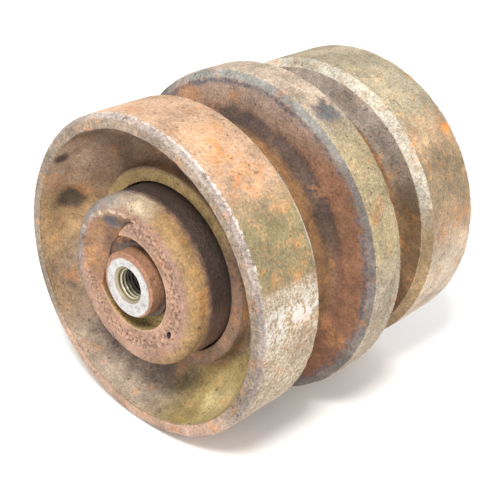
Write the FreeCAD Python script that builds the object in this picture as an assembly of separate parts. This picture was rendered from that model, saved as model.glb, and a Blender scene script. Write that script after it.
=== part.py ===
import FreeCAD, Part
import math
import os

# Track roller: a turning shell with two wide rims and a taller centre flange, on a fixed shaft.
# Millimetres. The origin is the middle of the roller, +Y is the shaft's axis and +Z is up.
# Every piece of one end is drawn on the +Y side, and turned over about X to make its twin at the front.

# Rims and centre flange
rim_diameter = 200.0
overall_width = 205.0
rim_tread_width = 46.0
rim_shoulder_width = 6.0
rim_shoulder_drop = 5.5
lip_thickness = 9.0
lip_chamfer = 3.0
flange_rise = 6.5
flange_tread_width = 23.6
flange_bevel_drop = 5.6
flange_bevel_width = 2.2
flange_web_lean = 2.2
groove_depth = 22.0
groove_root_round = 7.0
rim_web_lean = 2.5

# Cup in the outer side of each rim
cup_depth = 34.5
cup_floor_width = 10.5
cup_floor_round = 13.0
cup_wall_lean = 2.5
cup_wall_bend_depth = 18.5
boss_recess = 24.5
boss_wall = 8.7
boss_draft = 2.0
boss_foot_round = 6.0

# Shaft and bushes
journal_diameter = 45.0
shaft_shoulder_height = 2.1
shaft_end_chamfer = 1.1
shaft_end_proud = 3.0
oil_way_diameter = 6.0
bush_running_clearance = 0.05
bush_wall = 4.0
bush_flange_lip = 6.5
bush_flange_thickness = 4.0
bush_length = 28.0
bush_flange_side_gap = 0.3
end_play = 0.4
barrel_wall = 16.0
cavity_length = 48.0
cavity_round = 6.0

# Mounting thread in each end of the shaft, drawn as its tapping drill size
thread_drill_diameter = 17.5
thread_depth = 35.0
thread_mouth_diameter = 23.4

# Floating face seals
seal_plane_behind_boss = 12.0
bush_face_behind_housing = 1.5
seal_film = 0.02
hub_wall = 9.1
seal_ring_bore_gap = 2.5
seal_ring_neck_wall = 3.0
seal_ring_length = 9.5
seal_ring_face_lip = 4.3
seal_ring_face_thickness = 3.0
seal_ring_relief = 0.3
seal_ring_band_width = 2.8
toric_thickness = 7.6
toric_squeeze = 0.1
toric_side_gap = 0.3
seal_housing_end_gap = 1.6
seal_housing_gap = 1.2

# End collars
collar_wall = 9.9
collar_projection = 27.5
collar_gap = 1.3
collar_shoulder_round = 5.5
collar_crown = 0.9
collar_crown_width = 9.5
collar_fit = 0.02
pocket_width = 8.6
pocket_depth = 9.0
ramp_depth = 6.5
ramp_width = 14.5
ramp_start_angle = 155.0
ramp_sweep_angle = 110.0
tooling_hole_diameter = 3.6
tooling_hole_depth = 6.0
tooling_hole_from_pocket = 9.0
tooling_hole_angle = 31.0

# Retaining rings, O-rings, lock pins and plug
ring_thickness = 1.75
ring_groove_depth = 1.65
ring_groove_side_gap = 0.1
ring_clearance = 0.05
ring_width = 4.4
ring_gap_sweep_angle = 34.0
ring_gap_end_angle = 172.0
ring_eye_radius = 3.1
ring_eye_hole_diameter = 2.5
o_ring_thickness = 3.1
o_ring_squeeze = 0.1
o_ring_groove_width = 4.4
o_ring_below_pocket = 12.0
pin_diameter = 6.0
pin_wall = 1.1
pin_slit = 1.0
pin_below_pocket = 6.5
pin_angle = 120.0
pin_recess = 2.2
pin_depth_in_shaft = 7.4
plug_diameter = 10.0
plug_length = 9.0
plug_hex = 5.0
plug_hex_depth = 5.0
plug_chamfer = 0.8

edge_break = 1.0

# Stations along the axis, measured outwards from the middle
rim_face = overall_width / 2
boss_face = rim_face - boss_recess
seal_plane = boss_face - seal_plane_behind_boss
toric_setback = seal_ring_face_thickness + toric_thickness / 2 + toric_side_gap
seal_housing_depth = toric_setback + toric_thickness / 2 + seal_housing_end_gap
bush_face = seal_plane - seal_housing_depth - bush_face_behind_housing
shaft_shoulder = bush_face + end_play
bush_seat_face = bush_face - bush_flange_thickness
collar_face = boss_face + collar_projection
pocket_floor = collar_face - pocket_depth
shaft_end = collar_face + shaft_end_proud
cup_floor = rim_face - cup_depth
rim_shoulder = rim_face - rim_tread_width
rim_inner_face = rim_shoulder - rim_shoulder_width
o_ring_station = pocket_floor - o_ring_below_pocket
pin_station = pocket_floor - pin_below_pocket
thread_bottom = shaft_end - thread_depth

# Radii, from the shaft outwards
journal_radius = journal_diameter / 2
collar_seat_radius = journal_radius - shaft_shoulder_height
bush_bore_radius = journal_radius + bush_running_clearance
bush_radius = bush_bore_radius + bush_wall
bush_flange_radius = bush_radius + bush_flange_lip
hub_radius = collar_seat_radius + hub_wall
seal_bore_radius = hub_radius + seal_ring_bore_gap
seal_neck_radius = seal_bore_radius + seal_ring_neck_wall
housing_radius = seal_neck_radius + toric_thickness
toric_radius = seal_neck_radius + toric_thickness / 2
collar_radius = housing_radius + collar_wall
boss_bore_radius = collar_radius + collar_gap
boss_radius = boss_bore_radius + boss_wall
pocket_radius = collar_seat_radius + pocket_width
rim_radius = rim_diameter / 2
flange_radius = rim_radius + flange_rise
barrel_radius = rim_radius - groove_depth
cavity_radius = barrel_radius - barrel_wall
ring_groove_radius = collar_seat_radius - ring_groove_depth

MIDDLE = FreeCAD.Vector(0, 0, 0)
AXIS = FreeCAD.Vector(0, 1, 0)
ACROSS = FreeCAD.Vector(1, 0, 0)
LARGE = 4 * rim_radius


def at(radius, station, angle=0.0):
    """The point at a radius, a distance along the axis, and an angle from +X towards +Z."""
    turn = math.radians(angle)
    return FreeCAD.Vector(radius * math.cos(turn), station, radius * math.sin(turn))


def rounded_wire(corners):
    """A closed wire through (radius, station, round) corners. A round of 0 is a sharp corner."""
    points = [FreeCAD.Vector(corner[0], corner[1], 0) for corner in corners]
    edges = []
    joins = []
    for index, corner in enumerate(corners):
        point = points[index]
        back = points[index - 1] - point
        on = points[(index + 1) % len(points)] - point
        half_angle = back.getAngle(on) / 2
        reach = corner[2] / math.tan(half_angle)
        back.normalize()
        on.normalize()
        inward = (back + on).normalize()
        middle = point + inward * (corner[2] / math.sin(half_angle) - corner[2])
        joins.append((point + back * reach, middle, point + on * reach, corner[2]))
    for index, (start, middle, end, round_radius) in enumerate(joins):
        if round_radius > 0:
            edges.append(Part.Arc(start, middle, end).toShape())
        following = joins[(index + 1) % len(joins)][0]
        if end.distanceToPoint(following) > 1e-6:
            edges.append(Part.makeLine(end, following))
    return Part.Wire(edges)


def turned(corners, sweep=360.0):
    """A solid turned about the axis from (radius, station, round) corners."""
    return Part.Face(rounded_wire(corners)).revolve(MIDDLE, AXIS, sweep)


def band(inner, outer, low, high):
    """A plain ring between two radii and two stations."""
    return turned([(inner, low, 0), (outer, low, 0), (outer, high, 0), (inner, high, 0)])


def axial_hole(radius, low, high, centre=MIDDLE):
    """A round cutter along the axis."""
    return Part.makeCylinder(radius, high - low, centre + at(0, low), AXIS)


def radial_hole(radius, low, high, station, angle):
    """A round cutter square to the axis, between two distances from it."""
    return Part.makeCylinder(radius, high - low, at(low, station, angle), at(1, 0, angle))


def turned_over(shape):
    """The same piece at the front end: turned half round about X."""
    return shape.rotated(MIDDLE, ACROSS, 180)


def shell_half():
    """One rim with its cup, boss and web, half the barrel and half the centre flange."""
    cup_floor_radius = boss_radius + boss_draft + cup_floor_width
    mouth_radius = rim_radius - lip_thickness
    flange_half = flange_tread_width / 2
    flange_web = flange_half + flange_bevel_width
    return turned([
        (cavity_radius, 0, 0),
        (cavity_radius, cavity_length / 2, cavity_round),
        (bush_radius, cavity_length / 2, edge_break),
        (bush_radius, bush_seat_face, 0),
        (bush_flange_radius + bush_flange_side_gap, bush_seat_face, 0),
        (bush_flange_radius + bush_flange_side_gap, seal_plane - seal_housing_depth, 0),
        (housing_radius, seal_plane - seal_housing_depth, edge_break),
        (housing_radius, seal_plane - seal_housing_gap, 0),
        (boss_bore_radius, seal_plane - seal_housing_gap, edge_break),
        (boss_bore_radius, boss_face, 0),
        (boss_radius, boss_face, edge_break),
        (boss_radius + boss_draft, cup_floor, boss_foot_round),
        (cup_floor_radius, cup_floor, cup_floor_round),
        (mouth_radius - cup_wall_lean, rim_face - cup_wall_bend_depth, cup_floor_round),
        (mouth_radius, rim_face, edge_break),
        (rim_radius - lip_chamfer, rim_face, 0),
        (rim_radius, rim_face - lip_chamfer, edge_break),
        (rim_radius, rim_shoulder, edge_break),
        (rim_radius - rim_shoulder_drop, rim_inner_face, edge_break),
        (barrel_radius, rim_inner_face - rim_web_lean, groove_root_round),
        (barrel_radius, flange_web + flange_web_lean, groove_root_round),
        (flange_radius - flange_bevel_drop, flange_web, edge_break),
        (flange_radius, flange_half, edge_break),
        (flange_radius, 0, 0),
    ])


def shaft_cutters_at_one_end():
    """Threaded hole with its countersunk mouth, snap ring groove and lock pin hole."""
    mouth_depth = (thread_mouth_diameter - thread_drill_diameter) / 2
    drill_radius = thread_drill_diameter / 2
    mouth = Part.makeCone(
        drill_radius, thread_mouth_diameter / 2, mouth_depth, at(0, shaft_end - mouth_depth), AXIS)
    ring_groove_end = pocket_floor + ring_thickness + ring_groove_side_gap
    pin_hole_bottom = collar_seat_radius - pin_depth_in_shaft
    return [
        axial_hole(drill_radius, thread_bottom, shaft_end),
        mouth,
        band(ring_groove_radius, journal_radius, pocket_floor, ring_groove_end),
        radial_hole(pin_diameter / 2, pin_hole_bottom, journal_radius, pin_station, pin_angle),
    ]


def shaft():
    """Journal between two shoulders, a collar seat at each end, and the oil way from the front."""
    body = turned([
        (0, -shaft_end, 0),
        (collar_seat_radius - shaft_end_chamfer, -shaft_end, 0),
        (collar_seat_radius, -shaft_end + shaft_end_chamfer, 0),
        (collar_seat_radius, -shaft_shoulder, 0),
        (journal_radius, -shaft_shoulder, 0),
        (journal_radius, shaft_shoulder, 0),
        (collar_seat_radius, shaft_shoulder, 0),
        (collar_seat_radius, shaft_end - shaft_end_chamfer, 0),
        (collar_seat_radius - shaft_end_chamfer, shaft_end, 0),
        (0, shaft_end, 0),
    ])
    cutters = shaft_cutters_at_one_end()
    cutters += [turned_over(cutter) for cutter in shaft_cutters_at_one_end()]
    oil_way_radius = oil_way_diameter / 2
    cutters.append(axial_hole(plug_diameter / 2, -thread_bottom, -thread_bottom + plug_length))
    cutters.append(axial_hole(oil_way_radius, -thread_bottom, oil_way_radius))
    cutters.append(radial_hole(oil_way_radius, -LARGE, LARGE, 0, 90))
    return body.cut(cutters)


def bush():
    """Flanged sleeve pressed into the shell, with a chamfered leading edge."""
    return turned([
        (bush_bore_radius, bush_face - bush_length, 0),
        (bush_radius - edge_break, bush_face - bush_length, 0),
        (bush_radius, bush_face - bush_length + edge_break, 0),
        (bush_radius, bush_seat_face, 0),
        (bush_flange_radius, bush_seat_face, 0),
        (bush_flange_radius, bush_face, 0),
        (bush_bore_radius, bush_face, 0),
    ])


def collar():
    """Domed end collar: hub, seal housing, O-ring groove, snap ring pocket and removal ramp."""
    housing_floor = seal_plane + seal_housing_depth
    bore_radius = collar_seat_radius + collar_fit
    body = turned([
        (bore_radius, shaft_shoulder, 0),
        (hub_radius, shaft_shoulder, edge_break),
        (hub_radius, housing_floor, edge_break),
        (housing_radius, housing_floor, edge_break),
        (housing_radius, seal_plane + seal_housing_gap, 0),
        (collar_radius, seal_plane + seal_housing_gap, edge_break),
        (collar_radius, collar_face - collar_crown, collar_shoulder_round),
        (collar_radius - collar_crown_width, collar_face, 0),
        (pocket_radius, collar_face, edge_break),
        (pocket_radius, pocket_floor, edge_break),
        (bore_radius, pocket_floor, 0),
    ])
    groove_half = o_ring_groove_width / 2
    o_ring_groove = band(
        bore_radius - edge_break, collar_seat_radius + o_ring_thickness,
        o_ring_station - groove_half, o_ring_station + groove_half)
    ramp_spread = (ramp_width + edge_break) / ramp_depth
    ramp = turned([
        (pocket_radius - edge_break, collar_face - ramp_depth, 0),
        (pocket_radius + ramp_width + ramp_spread, collar_face + 1, 0),
        (pocket_radius - edge_break, collar_face + 1, 0),
    ], ramp_sweep_angle).rotated(MIDDLE, AXIS, -ramp_start_angle - ramp_sweep_angle)
    tooling_hole = axial_hole(
        tooling_hole_diameter / 2, collar_face - tooling_hole_depth, collar_face + 1,
        at(pocket_radius + tooling_hole_from_pocket, 0, tooling_hole_angle))
    pin_hole = radial_hole(pin_diameter / 2, 0, LARGE, pin_station, pin_angle)
    return body.cut([o_ring_groove, ramp, tooling_hole, pin_hole])


def seal_ring(side):
    """One lapped metal ring of a face seal. Side is +1 for the fixed one and -1 for the turning one."""
    face = seal_plane + side * seal_film / 2
    back = face + side * seal_ring_length
    flange_back = face + side * seal_ring_face_thickness
    face_radius = seal_neck_radius + seal_ring_face_lip
    return turned([
        (seal_bore_radius, face + side * seal_ring_relief, 0),
        (face_radius - seal_ring_band_width, face + side * seal_ring_relief, 0),
        (face_radius - seal_ring_band_width, face, 0),
        (face_radius, face, 0),
        (face_radius, flange_back, 0),
        (seal_neck_radius, flange_back, edge_break),
        (seal_neck_radius, back, 0),
        (seal_bore_radius, back, 0),
    ])


def toric(side):
    """The rubber ring squeezed between a seal ring's neck and its housing."""
    section_radius = toric_thickness / 2 + toric_squeeze
    station = seal_plane + side * toric_setback
    return Part.makeTorus(toric_radius, section_radius, at(0, station), AXIS)


def collar_o_ring():
    """Static seal between the collar's bore and the shaft."""
    middle_radius = collar_seat_radius + o_ring_thickness / 2
    return Part.makeTorus(middle_radius, o_ring_thickness / 2 + o_ring_squeeze, at(0, o_ring_station), AXIS)


def retaining_ring():
    """Snap ring on the shaft, against the pocket's floor, with an eye at each end of its gap."""
    inner = ring_groove_radius + ring_clearance
    low = pocket_floor
    high = pocket_floor + ring_thickness
    hoop = band(inner, inner + ring_width, low, high)
    gap = turned([
        (inner - 1, low - 1, 0),
        (inner + LARGE, low - 1, 0),
        (inner + LARGE, high + 1, 0),
        (inner - 1, high + 1, 0),
    ], ring_gap_sweep_angle).rotated(MIDDLE, AXIS, -ring_gap_end_angle)
    ring = hoop.cut(gap)
    eye_reach = math.degrees(math.asin(ring_eye_radius / (inner + ring_eye_radius)))
    ring_gap_start_angle = ring_gap_end_angle - ring_gap_sweep_angle
    for eye_angle in (ring_gap_end_angle + eye_reach, ring_gap_start_angle - eye_reach):
        centre = at(collar_seat_radius + ring_eye_radius + ring_clearance, 0, eye_angle)
        ring = ring.fuse(axial_hole(ring_eye_radius, low, high, centre))
        ring = ring.cut(axial_hole(ring_eye_hole_diameter / 2, low, high, centre))
    return ring.removeSplitter()


def lock_pin():
    """Slit spring pin through the collar into the shaft."""
    low = collar_seat_radius - pin_depth_in_shaft
    high = collar_radius - pin_recess
    tube = radial_hole(pin_diameter / 2, low, high, pin_station, 0)
    bore = radial_hole(pin_diameter / 2 - pin_wall, low, high, pin_station, 0)
    slit = Part.makeBox(high - low, pin_slit, pin_diameter, at(low, pin_station - pin_slit / 2))
    return tube.cut([bore, slit]).rotated(MIDDLE, AXIS, -pin_angle)


def oil_plug():
    """Screwed plug with a hexagon socket, at the bottom of the front threaded hole."""
    outer = -thread_bottom
    inner = outer + plug_length
    radius = plug_diameter / 2
    body = turned([
        (0, outer, 0),
        (radius - plug_chamfer, outer, 0),
        (radius, outer + plug_chamfer, 0),
        (radius, inner, 0),
        (0, inner, 0),
    ])
    corner_radius = plug_hex / math.sqrt(3)
    corners = [at(corner_radius, outer, 60 * turn) for turn in range(7)]
    socket = Part.Face(Part.makePolygon(corners)).extrude(FreeCAD.Vector(0, plug_hex_depth, 0))
    return body.cut(socket)


FIXED = 1
TURNING = -1

pieces = {
    "shell_half": shell_half(),
    "bush": bush(),
    "collar": collar(),
    "fixed_seal_ring": seal_ring(FIXED),
    "rotating_seal_ring": seal_ring(TURNING),
    "fixed_toric": toric(FIXED),
    "rotating_toric": toric(TURNING),
    "collar_o_ring": collar_o_ring(),
    "retaining_ring": retaining_ring(),
    "collar_pin": lock_pin(),
}

os.makedirs("parts", exist_ok=True)
for name, piece in pieces.items():
    piece.exportStep("parts/rear_" + name + ".step")
    turned_over(piece).exportStep("parts/front_" + name + ".step")
shaft().exportStep("parts/shaft.step")
oil_plug().exportStep("parts/oil_plug.step")
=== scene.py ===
import math

import bmesh
import bpy
import numpy as np
from mathutils import Matrix, Vector, noise


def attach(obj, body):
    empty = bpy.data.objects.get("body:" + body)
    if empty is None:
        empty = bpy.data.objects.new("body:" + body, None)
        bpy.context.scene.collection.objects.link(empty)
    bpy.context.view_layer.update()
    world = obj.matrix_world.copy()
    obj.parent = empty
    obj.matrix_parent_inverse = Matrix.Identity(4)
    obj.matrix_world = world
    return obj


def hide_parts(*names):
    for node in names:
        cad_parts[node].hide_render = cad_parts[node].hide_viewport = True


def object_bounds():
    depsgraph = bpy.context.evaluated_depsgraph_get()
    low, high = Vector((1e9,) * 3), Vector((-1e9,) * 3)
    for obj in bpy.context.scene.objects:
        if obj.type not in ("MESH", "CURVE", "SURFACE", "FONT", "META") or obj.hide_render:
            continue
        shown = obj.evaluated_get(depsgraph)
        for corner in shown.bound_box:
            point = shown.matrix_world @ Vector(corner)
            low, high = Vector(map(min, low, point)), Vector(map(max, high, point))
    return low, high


bl_info = {
    "name": "Track Roller",
    "version": (1, 0, 0),
    "blender": (4, 5, 0),
    "location": "3D View > Sidebar > Track Roller",
    "description": "Builds the worn outer pieces of a track roller round its fixed frame",
    "category": "Add Mesh",
}

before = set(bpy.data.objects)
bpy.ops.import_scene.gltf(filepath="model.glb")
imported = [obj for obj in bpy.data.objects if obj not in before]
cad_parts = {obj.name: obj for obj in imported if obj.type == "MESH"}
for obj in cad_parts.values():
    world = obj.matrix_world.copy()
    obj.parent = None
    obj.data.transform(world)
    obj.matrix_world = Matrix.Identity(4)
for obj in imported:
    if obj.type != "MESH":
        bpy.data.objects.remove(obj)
frame_low, frame_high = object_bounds()

MM = 0.001
FRONT, REAR = -1, 1
GREY_HALF = (0.5, 0.5, 0.5)
SHARP_ANGLE = 38
ARC_STEP = 0.9
DRILL_SIDES = 40
SHELL_COLUMNS, COLLAR_COLUMNS, SHAFT_COLUMNS = 380, 400, 128

# Sizes in mm, the outermost two from the frame. A radius is measured from the axle and a station
# along it, from the middle.
FLANGE_RADIUS, SHAFT_END = round(frame_high[0] / MM, 2), round(frame_high[1] / MM, 2)
FLANGE_EDGE, FLANGE_FOOT = 11.8, 16.2
BARREL_RADIUS, BARREL_END = 78.0, 48.0
SHOULDER_RADIUS, SHOULDER_START = 94.5, 50.5
RIM_RADIUS, RIM_START, RIM_EDGE = 100.0, 56.5, 99.5
LIP_RADIUS, LIP_END = 91.0, 102.5
BOSS_BORE, BOSS_RADIUS, BOSS_END = 53.8, 62.5, 78.0
COLLAR_RADIUS, COLLAR_START, COLLAR_FACE = 52.5, 67.2, 105.5
POCKET_RADIUS, POCKET_FLOOR = 29.0, 96.5
SHAFT_RADIUS, SHAFT_SHOULDER = 20.4, 52.4
MOUTH_RADIUS, BORE_RADIUS, BORE_START = 11.7, 8.75, 105.55
THREAD_STEP, THREAD_END, THREAD_RUN_OUT = 0.28, 73.5, 3.0
PLUG_RADIUS, PLUG_FLOOR, OIL_RADIUS, OIL_CROSS = 5.0, 64.5, 3.0, 30.0

# Shares of half a pitch that the thread's crest and its flank take up.
THREAD_CREST, THREAD_FLANK = 0.12, 0.66

# Features of the collars, in mm and in degrees round the axle, as the rear end has them.
PIN_STATION, PIN_ANGLE, PIN_RADIUS = 90.0, 120.0, 3.0
TOOLING_HOLE_PLACE, TOOLING_HOLE_ANGLE, TOOLING_HOLE_RADIUS = 38.0, 31.0, 1.8
TOOLING_HOLE_X = TOOLING_HOLE_PLACE * math.cos(math.radians(TOOLING_HOLE_ANGLE))
TOOLING_HOLE_Z = TOOLING_HOLE_PLACE * math.sin(math.radians(TOOLING_HOLE_ANGLE))
RAMP_RADIUS, RAMP_LOW, RAMP_CURVE = 29.0, 97.6, 1.35
RAMP_FROM, RAMP_DEEP, RAMP_TO, RAMP_WALL = 155.0, 185.0, 262.0, 0.3
RAMP_REACH_ANGLES, RAMP_REACH = (RAMP_FROM, 190, RAMP_TO), (41.0, 47.5, 41.0)
RAMP_LEAN_RADIUS, RAMP_LEAN = 35.2, 2.6
CHIP_RADIUS, CHIP_ANGLE, CHIP_ALONG, CHIP_DEPTH = 37.0, 238.0, 0.384, 1.3

# Arcs of the surfaces that differ in colour, among them painted highlights and painted light: from, to and
# how soft their ends are, in degrees.
FLANGE_OLIVE_ARC, FLANGE_CROWN_ARC, FLANGE_PATCH_ARC = (10, 56, 8), (66, 130, 10), (59.5, 67, 2.5)
FRONT_OLIVE_ARC, FRONT_SALMON_ARC, FRONT_FLAME_ARC = (15, 46, 9), (49, 150, 13), (53, 74, 9)
REAR_CROWN_ARC, REAR_OLIVE_ARC, REAR_HIGHLIGHT_ARC = (49, 150, 10), (12, 40, 8), (-150, 2, 10)
REAR_GILT_ARC, FLECK_ARC, GLINT_ARC = (38, 84, 6), (8, 62, 6), (20, 160, 10)
WORN_AND_LIT_ARC, BALD_ARC, COLLAR_RIDGE_HIGHLIGHT_ARC = (-60, 18.3, 0.8), (2, 14, 4), (98, 160, 8)

# Single marks: the middle (x, y, z), then how far from it in mm the mark ends and how far it is full.
# Each stain in the cup also has how ragged it is.
REAR_RUST_BLOB = (72.6, 95.0, 68.6), 4.6, 3.2
# The first of these marks is a patch of painted light on the front cup's left wall.
CUP_LIT_PATCH, CUP_DIRT_POOL = ((-70, -90, 45), 34, 14), ((50, -84, -66), 24, 8)
CUP_STAINS = (((-80.5, -84, 16), 12, 7, 0.3), ((-73, -96, 50), 7, 3, 0.2), ((-60, -90, 60), 4, 2, 0.2))
# This mark sits in the chip on the collar's ramp and is partly painted shade.
COLLAR_CHIP_SHADE = (-20.5, -103.6, 29.6), 8.5, 4.5

# The stage: places and sizes in metres, the lens in mm, the camera's angles in degrees.
KEY_LIGHT_PLACE, KEY_LIGHT_SIZE, KEY_LIGHT_POWER = (0.41, -0.61, 0.95), 0.24, 12.6
KEY_LIGHT_COLOUR = (1.0, 0.985, 0.96)
CAMERA_PLACE, CAMERA_LENS = (0.37744, -0.4355, 0.30169), 72.2
CAMERA_AZIMUTH, CAMERA_ELEVATION, CAMERA_ROLL = 41.12, 28.91, 3.72
FLOOR_HALF = 2.0


# ---------------------------------------------------------------- what a user may change

class TrackRollerSizes(bpy.types.PropertyGroup):
    """Sizes of the surface detail on the roller's outer pieces."""

    skin_height: bpy.props.FloatProperty(
        name="Cast skin", description="Height of the lumps in the as-cast surfaces",
        default=0.00035, min=0.0, max=0.001, unit="LENGTH", precision=5)
    tread_height: bpy.props.FloatProperty(
        name="Tread wear", description="Depth of the dents worn into the rolling surfaces",
        default=0.00016, min=0.0, max=0.001, unit="LENGTH", precision=5)
    edge_nick: bpy.props.FloatProperty(
        name="Edge nicks", description="Depth of the nicks along the edges of the rims and flange",
        default=0.0005, min=0.0, max=0.002, unit="LENGTH", precision=5)
    face_height: bpy.props.FloatProperty(
        name="Collar face", description="Height of the rough cast band on each collar's face",
        default=0.0008, min=0.0, max=0.002, unit="LENGTH", precision=5)
    thread_pitch: bpy.props.FloatProperty(
        name="Thread pitch", description="Pitch of the mounting thread in each end of the shaft",
        default=0.0025, min=0.001, max=0.004, unit="LENGTH", precision=5)
    thread_height: bpy.props.FloatProperty(
        name="Thread height", description="Depth of the mounting thread's flanks",
        default=0.0012, min=0.0005, max=0.002, unit="LENGTH", precision=5)


def paint(red, green, blue):
    """A linear colour from its everyday 0 to 255 shades."""
    shades = np.array([red, green, blue]) / 255.0
    linear = np.where(shades <= 0.04045, shades / 12.92, ((shades + 0.055) / 1.055) ** 2.4)
    return tuple(float(value) for value in linear)


def tint(name, description, red, green, blue):
    """A colour a user may change, from its everyday 0 to 255 shades."""
    return bpy.props.FloatVectorProperty(
        name=name, description=description, default=paint(red, green, blue), size=3, min=0.0, max=1.0,
        subtype="COLOR")


class TrackRollerColours(bpy.types.PropertyGroup):
    """Colours of the roller's surfaces."""

    web: tint("Webs", "The flange's sides", 130, 92, 68)
    web_high: tint("Webs, high up", "The flange's sides near the top", 160, 140, 126)
    groove_wall: tint("Groove walls", "The rims' walls beside the grooves", 112, 86, 58)
    groove_wall_high: tint("Groove walls, high up", "The rims' walls near the top", 158, 146, 134)
    barrel: tint("Barrel", "The shell between the rims and the flange", 124, 90, 56)
    # Painted shade at the roots of the flange's sides.
    shaded_foot: tint("Web feet", "The dark hollows at the feet of the flange's sides", 72, 58, 52)
    bevel: tint("Flange edge", "The bevelled edge of the flange", 108, 104, 100)
    bevel_high: tint("Flange edge, high up", "The bevelled edge near the top", 142, 140, 134)
    blue_film: tint("Blue film", "Scuffed blue-grey patches", 92, 92, 98)
    flange_tread: tint("Flange tread", "The flange's rolling surface", 158, 144, 124)
    flange_olive: tint("Flange tread, olive", "The olive part of the flange's tread", 150, 134, 100)
    flange_crown: tint("Flange tread, crown", "The upper part of the flange's tread", 172, 154, 136)
    shoulder: tint("Rim shoulders", "The sloped shoulders beside the grooves", 186, 178, 162)
    shoulder_low: tint("Rim shoulders, low down", "The sloped shoulders lower down", 140, 116, 84)
    tread_tan: tint("Rim treads", "The rims' rolling surfaces", 166, 138, 110)
    tread_olive: tint("Front tread, olive", "The olive part of the front tread", 130, 117, 84)
    tread_salmon: tint("Front tread, salmon", "The upper part of the front tread", 182, 148, 120)
    orange_rust: tint("Orange rust", "Fresh rust", 198, 132, 70)
    rear_tread: tint("Rear tread, crown", "The upper part of the rear tread", 156, 144, 120)
    rear_olive: tint("Rear tread, olive", "The olive part of the rear tread", 142, 122, 94)
    # Painted highlight on the lower part of the rear tread.
    rear_lower_highlight: tint("Rear tread, pale", "The lower part of the rear tread", 190, 172, 152)
    gilt: tint("Golden film", "Golden streaks on the rear rolling surface", 190, 166, 124)
    tread_worn_dark: tint("Worn tread, pits", "The pits in the worn metal", 136, 108, 84)
    # These two paint the worn patch on the front tread: worn metal, painted paler in part as painted light.
    tread_worn_and_lit: tint("Worn tread", "The worn metal", 166, 148, 122)
    tread_bare_and_lit: tint("Worn tread, peaks", "The brightest worn metal", 204, 194, 176)
    # Bare steel, also the painted highlight along the rims' edges.
    bare_steel_and_highlight: tint("Bare steel", "Freshly rubbed steel", 206, 202, 196)
    cup: tint("Cups", "The dished ends", 160, 130, 94)
    # Painted shade on the upper side of the dished ends and round the bosses' outer edge.
    cup_shade: tint("Cups, upper side", "The upper side of the dished ends", 104, 82, 70)
    # Painted light: the lit patch on the left wall of the front cup.
    cup_lit: tint("Cups, paler patch", "A paler patch in the front dished end", 168, 142, 120)
    cup_grey: tint("Cups, lower side", "The lower side of the dished ends", 118, 104, 96)
    cup_low: tint("Cups, outer edge", "The lower outer edge of the dished ends", 172, 158, 144)
    # Khaki dirt, also the painted light on the lower wall of the collars' snap ring recesses.
    khaki: tint("Khaki dirt", "Dry khaki dirt", 146, 128, 80)
    khaki_pale: tint("Khaki dirt, pale", "Paler dry dirt", 190, 172, 124)
    boss: tint("Bosses", "The rings round the collars", 130, 104, 84)
    boss_high: tint("Bosses, high up", "The upper part of the rings round the collars", 168, 142, 94)
    lip: tint("Lips", "The ends of the rims", 138, 122, 106)
    lip_low: tint("Lips, low down", "The lowest part of the rims' ends", 180, 148, 128)
    lip_corner: tint("Lip corners", "The scuffed outer corners of the rims", 150, 140, 134)
    collar_face: tint("Collar faces", "The collars' faces", 160, 126, 106)
    collar_marks: tint("Collar marks", "Rubbed ridges in the collars' rough band", 204, 164, 134)
    collar_gold: tint("Collar shoulders", "The collars' rounded shoulders", 152, 122, 78)
    # Pale rubbed places, also the painted highlight on the front collar's ramp edge.
    collar_crown_and_highlight: tint("Collar crowns", "Pale rubbed places on the collars", 196, 178, 152)
    collar_film: tint("Collar film", "The grey film on the upper part of the collars", 128, 124, 120)
    # Near-black sides of the collars down in the cups.
    collar_side: tint("Collar sides", "The oily sides of the collars", 48, 39, 36)
    ramp: tint("Removal ramps", "The dished ramps in the collars", 146, 110, 78)
    shaft_steel: tint("Shaft", "The shaft's turned steel", 136, 130, 124)
    shaft_bright: tint("Shaft ends", "The shaft's bright end faces", 186, 184, 182)
    shaft_rust: tint("Shaft rust", "The rust round the shaft's end faces", 146, 106, 80)
    # Painted highlight on the thread's crests and painted shade between them.
    thread_crest_highlight: tint("Thread crests", "The tops of the thread", 206, 200, 172)
    thread_valley_shade: tint("Thread grease", "The dark grease in the thread", 92, 82, 58)
    thread_mouth: tint("Thread mouths", "The chamfers at the mouths of the threads", 168, 156, 128)
    # Black stains in the cups, also the painted shade in the tooling holes and far inside the shaft's bores.
    soot_and_shade: tint("Soot", "Black stains", 50, 41, 38)
    # Dark dirt, also the painted shade in the collars' snap ring recesses and in the upper part of their
    # ramps' bowls.
    dirt: tint("Dirt", "Dark dirt in hollows", 88, 66, 54)
    spring_steel: tint("Retaining rings and pins", "Oiled spring steel", 98, 84, 74)
    plug_steel: tint("Oil plug", "Plain steel", 128, 122, 116)
    bronze: tint("Bushes", "Bearing bronze", 176, 134, 82)
    lapped_iron: tint("Seal rings", "Lapped iron", 136, 132, 128)
    rubber: tint("Torics and O-rings", "Black rubber", 40, 38, 36)


# ---------------------------------------------------------------- outlines and meshes

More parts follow.
